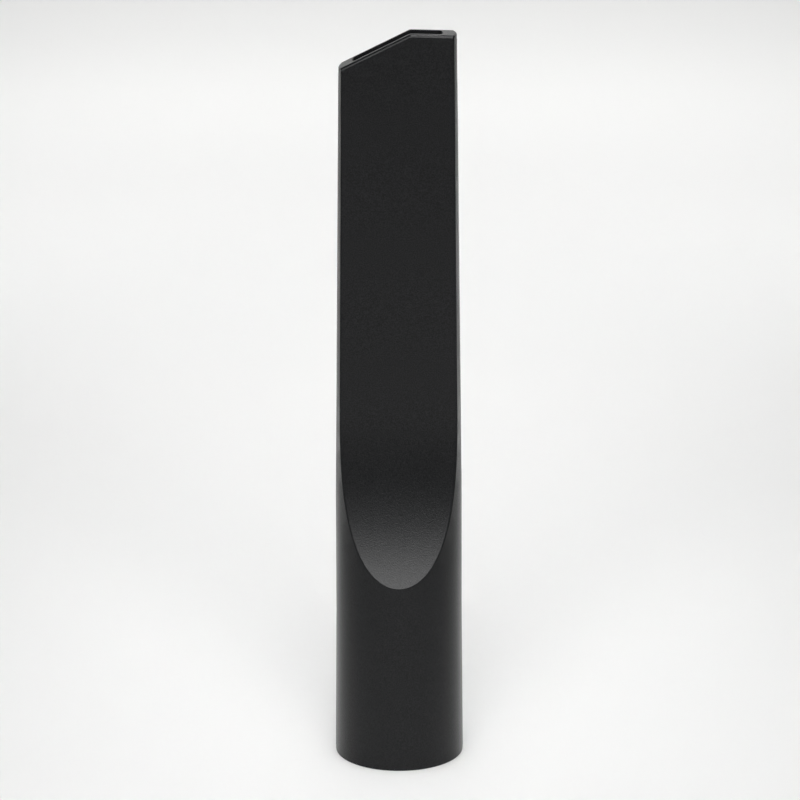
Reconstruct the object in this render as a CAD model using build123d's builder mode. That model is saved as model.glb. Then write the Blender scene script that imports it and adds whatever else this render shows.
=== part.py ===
# Crevice nozzle for a vacuum hose, moulded in one piece: a round push-fit socket that
# flattens through a scooped shoulder into a hollow blade with a slanted slot mouth.
# Millimetres and degrees. +Z runs from the socket mouth up to the tip, the scoops face
# -Y and +Y, and the high end of the slanted tip is +X.
import os
from math import radians, tan

from build123d import *

os.makedirs("parts", exist_ok=True)

# Hose socket
socket_bore = 32.0
socket_wall = 2.0
socket_depth = 42.0
stop_step = 0.6  # ledge at the end of the seat, which the hose end meets
lead_in = 0.5
base_edge_radius = 0.4

# Outer form, tapered so that the moulding leaves its tool
overall_length = 205.0
collar_draft = 0.6  # round the seat
neck_draft = 0.15
neck_height = 80.0  # the sides taper more steeply above this
blade_side_draft = 0.725
blade_root_height = 100.0  # the flat faces end here and the scoops begin
blade_root_thickness = 12.2
blade_face_draft = 0.5
scoop_radius = 105.0
edge_radius = 0.5

# Hollow passage
blade_wall = 1.8
passage_side_draft = 1.15
passage_corner_radius = 1.0

# Slanted tip
tip_short_width = 12.6  # from the short end to the ridge
tip_short_fall = 1.5
tip_long_fall = 26.0
ridge_radius = 1.5
rim_radius = 0.9  # along the front and back of the slot mouth

trim_margin = 2.0  # how far a trimming profile runs past what it trims


def drafted(half_width, draft, rise):
    return half_width - rise * tan(radians(draft))


collar_radius = socket_bore / 2 + socket_wall
seat_end_radius = drafted(collar_radius, collar_draft, socket_depth)
neck_radius = drafted(seat_end_radius, neck_draft, neck_height - socket_depth)
tip_radius = drafted(neck_radius, blade_side_draft, overall_length - neck_height)
throat_radius = socket_bore / 2 - stop_step

# The blank stands past the tip, and the profiles that trim it stand past the blank
blank_top = overall_length + trim_margin
trim_top = blank_top + trim_margin
trim_reach = collar_radius + trim_margin


def side_profile(root_half, arc_radius):
    """Side view of a tapering blade that flares through a scoop on each face."""
    top_half = drafted(root_half, blade_face_draft, trim_top - blade_root_height)
    with BuildSketch(Plane.YZ) as profile:
        with BuildLine():
            face = Line((top_half, trim_top), (root_half, blade_root_height))
            scoop = JernArc(face @ 1, face % 1, arc_radius, Axis((trim_reach, 0, 0), (0, 1, 0)))
            Polyline(scoop @ 1, (trim_reach, -trim_reach), (0, -trim_reach))
            Line(face @ 0, (0, trim_top))
            mirror(about=Plane.YZ)
        make_face()
    return profile.sketch


def crossing_edges(solid):
    """Edges, neither straight nor round, where a trimming profile crosses the turned blank."""
    turned_edges = solid.faces().filter_by(GeomType.CONE).edges()
    return turned_edges.filter_by(lambda edge: edge.geom_type not in (GeomType.LINE, GeomType.CIRCLE))


# The empty passage as a solid: hose seat, stop ledge, throat and slot
with BuildPart() as passage:
    with BuildSketch(Plane.XZ):
        with BuildLine():
            Polyline(
                (0, -trim_margin),
                (socket_bore / 2, -trim_margin),
                (socket_bore / 2, socket_depth),
                (throat_radius, socket_depth),
                (drafted(throat_radius, passage_side_draft, blank_top - socket_depth), blank_top),
                (0, blank_top),
                close=True,
            )
        make_face()
    revolve(axis=Axis.Z)
    slot_profile = side_profile(blade_root_thickness / 2 - blade_wall, scoop_radius + blade_wall)
    extrude(slot_profile, amount=trim_reach, both=True, mode=Mode.INTERSECT)
    fillet(crossing_edges(passage), passage_corner_radius)

with BuildPart() as nozzle:
    # Turned blank
    with BuildSketch(Plane.XZ):
        with BuildLine():
            Polyline(
                (0, 0),
                (collar_radius, 0),
                (seat_end_radius, socket_depth),
                (neck_radius, neck_height),
                (drafted(tip_radius, blade_side_draft, trim_margin), blank_top),
                (0, blank_top),
                close=True,
            )
        make_face()
    revolve(axis=Axis.Z)

    # Blade and scoops, alike on the front and the back
    blade_profile = side_profile(blade_root_thickness / 2, scoop_radius)
    extrude(blade_profile, amount=trim_reach, both=True, mode=Mode.INTERSECT)

    # Tip: a ridge that falls gently to the short end and steeply to the long end
    ridge_x = tip_radius - tip_short_width
    with BuildSketch(Plane.XZ) as offcut:
        with BuildLine():
            Polyline(
                (-trim_reach, drafted(overall_length, tip_long_fall, trim_reach + ridge_x)),
                (ridge_x, overall_length),
                (trim_reach, drafted(overall_length, tip_short_fall, trim_reach - ridge_x)),
                (trim_reach, trim_top),
                (-trim_reach, trim_top),
                close=True,
            )
        make_face()
        fillet(offcut.vertices().sort_by_distance((ridge_x, overall_length))[0], ridge_radius)
    extrude(amount=trim_reach, both=True, mode=Mode.SUBTRACT)
    tip_edges = nozzle.faces().filter_by(lambda face: face.normal_at().Z > 0.5).edges()
    blade_edges = nozzle.faces().filter_by(lambda face: abs(face.normal_at().Y) > 0.5).edges()
    fillet(tip_edges.filter_by(lambda edge: edge in blade_edges), rim_radius)
    fillet(crossing_edges(nozzle), edge_radius)

    # Hollow the blank, then ease the socket mouth
    add(passage.part, mode=Mode.SUBTRACT)
    mouth_edge = nozzle.edges().filter_by(GeomType.CIRCLE).group_by(Axis.Z)[0].sort_by(SortBy.RADIUS)[0]
    chamfer(mouth_edge, lead_in)
    base_edge = nozzle.edges().filter_by(GeomType.CIRCLE).group_by(Axis.Z)[0].sort_by(SortBy.RADIUS)[-1]
    fillet(base_edge, base_edge_radius)

nozzle.part.label = "crevice_nozzle"
export_step(nozzle.part, "parts/crevice_nozzle.step")
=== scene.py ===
import math

import bmesh
import bpy
from mathutils import Euler, Matrix, Vector
from mathutils.bvhtree import BVHTree


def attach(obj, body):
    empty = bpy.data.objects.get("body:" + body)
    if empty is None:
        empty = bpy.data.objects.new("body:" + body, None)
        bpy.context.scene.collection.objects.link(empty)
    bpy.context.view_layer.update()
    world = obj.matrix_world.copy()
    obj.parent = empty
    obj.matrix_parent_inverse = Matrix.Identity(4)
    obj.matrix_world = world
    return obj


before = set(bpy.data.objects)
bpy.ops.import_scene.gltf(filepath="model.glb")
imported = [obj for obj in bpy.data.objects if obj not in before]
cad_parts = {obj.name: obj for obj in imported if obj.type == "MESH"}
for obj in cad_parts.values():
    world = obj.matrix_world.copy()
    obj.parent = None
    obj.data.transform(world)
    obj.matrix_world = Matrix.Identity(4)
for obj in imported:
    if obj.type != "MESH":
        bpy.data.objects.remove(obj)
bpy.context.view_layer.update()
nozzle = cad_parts["crevice_nozzle"]
mmPerMetre = 1000


def hexToLinear(text):
    channels = [int(text[i:i + 2], 16) / 255 for i in (1, 3, 5)]
    return tuple(c / 12.92 if c <= 0.04045 else ((c + 0.055) / 1.055) ** 2.4 for c in channels) + (1.0,)


def addNode(tree, kind, settings=None, **links):
    node = tree.nodes.new(kind)
    for name, value in (settings or {}).items():
        if name in node.inputs:
            node.inputs[name].default_value = value
        else:
            setattr(node, name, value)
    for name, source in links.items():
        tree.links.new(source, node.inputs[name.replace("_", " ")])
    return node


def newMaterial(name):
    material = bpy.data.materials.new(name)
    material.use_nodes = True
    material.node_tree.nodes.clear()
    return material


def addObject(name, data):
    obj = bpy.data.objects.new(name, data)
    bpy.context.scene.collection.objects.link(obj)
    return obj


def meshObject(name, bm, material):
    bmesh.ops.recalc_face_normals(bm, faces=bm.faces)
    mesh = bpy.data.meshes.new(name)
    bm.to_mesh(mesh)
    bm.free()
    mesh.materials.append(material)
    return addObject(name, mesh)


def onlyKind(geometry, kind):
    return [item for item in geometry if isinstance(item, kind)]


# Polypropylene moulded against a spark-eroded tool: near black, satin, with a fine even grain
# that breaks up the highlights
plastic = {
    "dark": "#08080a",
    "light": "#1c1d1e",
    "grain": 0.3,  # mm, drawn coarser than a real spark-eroded grain so that it shows
    "grainDetail": 2.0,
    "grainRoughness": 0.55,
    "grainHeight": 0.045,  # mm
    "speckleRange": (0.35, 0.65),  # of the grain, from the dark colour to the light one
    "drift": 22.0,  # mm, slow change of gloss along the flow of the melt
    "driftDetail": 3.0,
    "driftRoughness": 0.5,
    "driftRange": (0.3, 0.7),
    "roughness": (0.28, 0.30),
    "ior": 1.44,
    "specular": 0.3,
}


def mouldedPolypropylene():
    material = newMaterial("moulded_black_polypropylene")
    tree = material.node_tree
    place = addNode(tree, "ShaderNodeTexCoord")
    grain, drift = [
        addNode(tree, "ShaderNodeTexNoise",
                {"Scale": mmPerMetre / plastic[name], "Detail": plastic[name + "Detail"],
                 "Roughness": plastic[name + "Roughness"]},
                Vector=place.outputs["Object"])
        for name in ("grain", "drift")]
    speckle = addNode(tree, "ShaderNodeMapRange",
                      {"From Min": plastic["speckleRange"][0], "From Max": plastic["speckleRange"][1]},
                      Value=grain.outputs["Fac"])
    tint = addNode(tree, "ShaderNodeMix",
                   {"data_type": "RGBA", "A": hexToLinear(plastic["dark"]), "B": hexToLinear(plastic["light"])},
                   Factor=speckle.outputs["Result"])
    gloss = addNode(tree, "ShaderNodeMapRange",
                    {"From Min": plastic["driftRange"][0], "From Max": plastic["driftRange"][1],
                     "To Min": plastic["roughness"][0], "To Max": plastic["roughness"][1]},
                    Value=drift.outputs["Fac"])
    bump = addNode(tree, "ShaderNodeBump",
                   {"Strength": 1.0, "Distance": plastic["grainHeight"] / mmPerMetre},
                   Height=grain.outputs["Fac"])
    shader = addNode(tree, "ShaderNodeBsdfPrincipled",
                     {"IOR": plastic["ior"], "Specular IOR Level": plastic["specular"]},
                     Base_Color=tint.outputs["Result"], Roughness=gloss.outputs["Result"],
                     Normal=bump.outputs["Normal"])
    addNode(tree, "ShaderNodeOutputMaterial", Surface=shader.outputs["BSDF"])
    return material


nozzle.data.materials.clear()
nozzle.data.materials.append(mouldedPolypropylene())
print("nozzle plastic done")


# Parting seam left where the two halves of the mould met, a hair proud along both narrow sides
seam = {
    "width": 0.3,  # mm at its foot
    "crest": 0.15,  # mm
    "proud": 0.05,  # mm
    "sunk": 0.1,  # mm
    "bare": 1.0,  # mm at each end
    "step": 1.0,  # mm between the heights tried on the way up the side
    "jump": 0.2,  # mm, a larger step inwards means that the side has ended
    "outside": 100.0,  # mm from the axis, where the rays start
    "offMiddle": 0.01,  # mm, because a mesh edge runs exactly along the middle
    "spans": 33,
}


def followSide(skin, side):
    points = []
    height = seam["bare"]
    while True:
        start = Vector((side * seam["outside"], seam["offMiddle"], height)) / mmPerMetre
        found = skin.ray_cast(start, Vector((-side, 0, 0)))[0]
        if found is None or points and abs(found.x - points[-1].x) > seam["jump"] / mmPerMetre:
            break
        points.append(Vector((found.x, 0, found.z)))
        height += seam["step"]
    # The topmost point is left out, which leaves the tip's end bare
    last = len(points) - 2
    return [points[round(i * last / seam["spans"])] for i in range(seam["spans"] + 1)]


def buildSeam():
    shell = nozzle.data
    skin = BVHTree.FromPolygons([v.co for v in shell.vertices], [p.vertices for p in shell.polygons])
    foot, crest = seam["width"] / 2, seam["crest"] / 2
    section = [(-foot, -seam["sunk"]), (-crest, seam["proud"]), (crest, seam["proud"]), (foot, -seam["sunk"])]
    bm = bmesh.new()
    for side in (-1, 1):
        path = followSide(skin, side)
        face = bm.faces.new([bm.verts.new(path[0] + Vector((side * out, across, 0)) / mmPerMetre)
                             for across, out in section])
        for low, high in zip(path, path[1:]):
            grown = bmesh.ops.extrude_face_region(bm, geom=[face])["geom"]
            # The first face closes the lower end, and the later ones would be left inside
            if low is not path[0]:
                bmesh.ops.delete(bm, geom=[face], context="FACES_ONLY")
            bmesh.ops.translate(bm, verts=onlyKind(grown, bmesh.types.BMVert), vec=high - low)
            face = onlyKind(grown, bmesh.types.BMFace)[0]
    obj = meshObject("parting_seam", bm, shell.materials[0])
    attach(obj, "root")


buildSeam()
print("parting seam done")


# Matt white studio sweep, floor and back wall in one sheet, in metres
sweep = {
    "colour": "#f8f8f7",
    "roughness": 0.9,
    "width": 7.0,
    "front": -4.0,
    "back": 1.7,
    "cove": 0.6,
    "height": 2.6,
    "coveSteps": 16,
}


def paintedSweep():
    material = newMaterial("matt_white_paint")
    tree = material.node_tree
    shader = addNode(tree, "ShaderNodeBsdfPrincipled",
                     {"Base Color": hexToLinear(sweep["colour"]), "Roughness": sweep["roughness"]})
    addNode(tree, "ShaderNodeOutputMaterial", Surface=shader.outputs["BSDF"])
    return material


def buildSweep():
    half = sweep["width"] / 2
    bm = bmesh.new()
    edge = [bm.verts.new((x, sweep["front"], 0)) for x in (-half, half)]
    strip = [bm.edges.new(edge)]

    def runOn(step):
        grown = bmesh.ops.extrude_edge_only(bm, edges=strip)["geom"]
        verts = onlyKind(grown, bmesh.types.BMVert)
        bmesh.ops.translate(bm, verts=verts, vec=step)
        strip[:] = [item for item in onlyKind(grown, bmesh.types.BMEdge) if all(v in verts for v in item.verts)]

    runOn(Vector((0, sweep["back"] - sweep["cove"] - sweep["front"], 0)))
    turn = math.pi / 2 / sweep["coveSteps"]
    for i in range(sweep["coveSteps"]):
        a, b = i * turn, (i + 1) * turn
        runOn(sweep["cove"] * Vector((0, math.sin(b) - math.sin(a), math.cos(a) - math.cos(b))))
    runOn(Vector((0, 0, sweep["height"] - sweep["cove"])))
    obj = meshObject("studio_sweep", bm, paintedSweep())
    for face in obj.data.polygons:
        face.use_smooth = True


buildSweep()
print("sweep done")


# Soft studio light: a softbox above the camera with a weak fill under it, panels that wash the
# floor and the back wall behind the nozzle, and a broad weak panel under the ceiling. The
# softbox has a grid, which keeps the floor under it from clipping to white. Lamps that hang
# straight down are aimed 1 mm off the vertical, which settles how they turn.
# Metres, watts and degrees
lamps = {
    "key_softbox": {
        "at": (0, -0.97, 0.81), "aim": (0, 0, 0.1), "size": (1.0, 0.5), "watts": 6.5, "spread": 130,
    },
    "low_fill": {
        "at": (0, -1.12, 0.53), "aim": (0, 0, 0.1), "size": (1.0, 0.2), "watts": 0.65, "spread": 180,
    },
    "base_panel": {
        "at": (0, 0.14, 1.46), "aim": (0, 0.141, 0), "size": (0.26, 0.5), "watts": 0.3, "spread": 24,
    },
    "floor_panel": {
        "at": (0, 0.84, 2.05), "aim": (0, 0.841, 0), "size": (0.9, 0.9), "watts": 1.65, "spread": 20,
    },
    "wall_panel": {
        "at": (0, 0.7, 1.6), "aim": (0, 1.9, 0.3), "size": (1.2, 0.4), "watts": 2.5, "spread": 70,
    },
    "ceiling_panel": {
        "at": (0, -1.4, 2.8), "aim": (0, -1.399, 0), "size": (3.0, 3.0), "watts": 16.0, "spread": 180,
    },
}
room = {"colour": "#f2f4f8", "strength": 0.01}


def lightStudio():
    for name, lamp in lamps.items():
        data = bpy.data.lights.new(name, "AREA")
        data.shape = "RECTANGLE"
        data.size, data.size_y = lamp["size"]
        data.energy = lamp["watts"]
        data.spread = math.radians(lamp["spread"])
        obj = addObject(name, data)
        obj.location = lamp["at"]
        look = Vector(lamp["aim"]) - Vector(lamp["at"])
        obj.rotation_euler = look.to_track_quat("-Z", "Y").to_euler()
    world = bpy.data.worlds.new("studio_room")
    world.use_nodes = True
    tree = world.node_tree
    tree.nodes.clear()
    back = addNode(tree, "ShaderNodeBackground",
                   {"Color": hexToLinear(room["colour"]), "Strength": room["strength"]})
    addNode(tree, "ShaderNodeOutputWorld", Surface=back.outputs["Background"])
    bpy.context.scene.world = world


lightStudio()
print("lamps done")


# Long lens a little above the nozzle, looking down at it from the front
view = {
    "at": (0.0004, -0.860, 0.3361),  # metres
    "pitch": 15.188,  # degrees below level
    "roll": -0.127,  # degrees
    "lens": 145.03,  # mm
    "sensor": 36.0,  # mm
}


def placeCamera():
    data = bpy.data.cameras.new("camera")
    data.sensor_width = view["sensor"]
    data.lens = view["lens"]
    camera = addObject("camera", data)
    turn = Euler((math.radians(90 - view["pitch"]), 0, 0)).to_matrix()
    turn = turn @ Matrix.Rotation(math.radians(view["roll"]), 3, "Z")
    camera.matrix_world = Matrix.Translation(view["at"]) @ turn.to_4x4()
    bpy.context.scene.camera = camera


placeCamera()
bpy.context.scene.view_settings.view_transform = "Standard"
print("camera done")
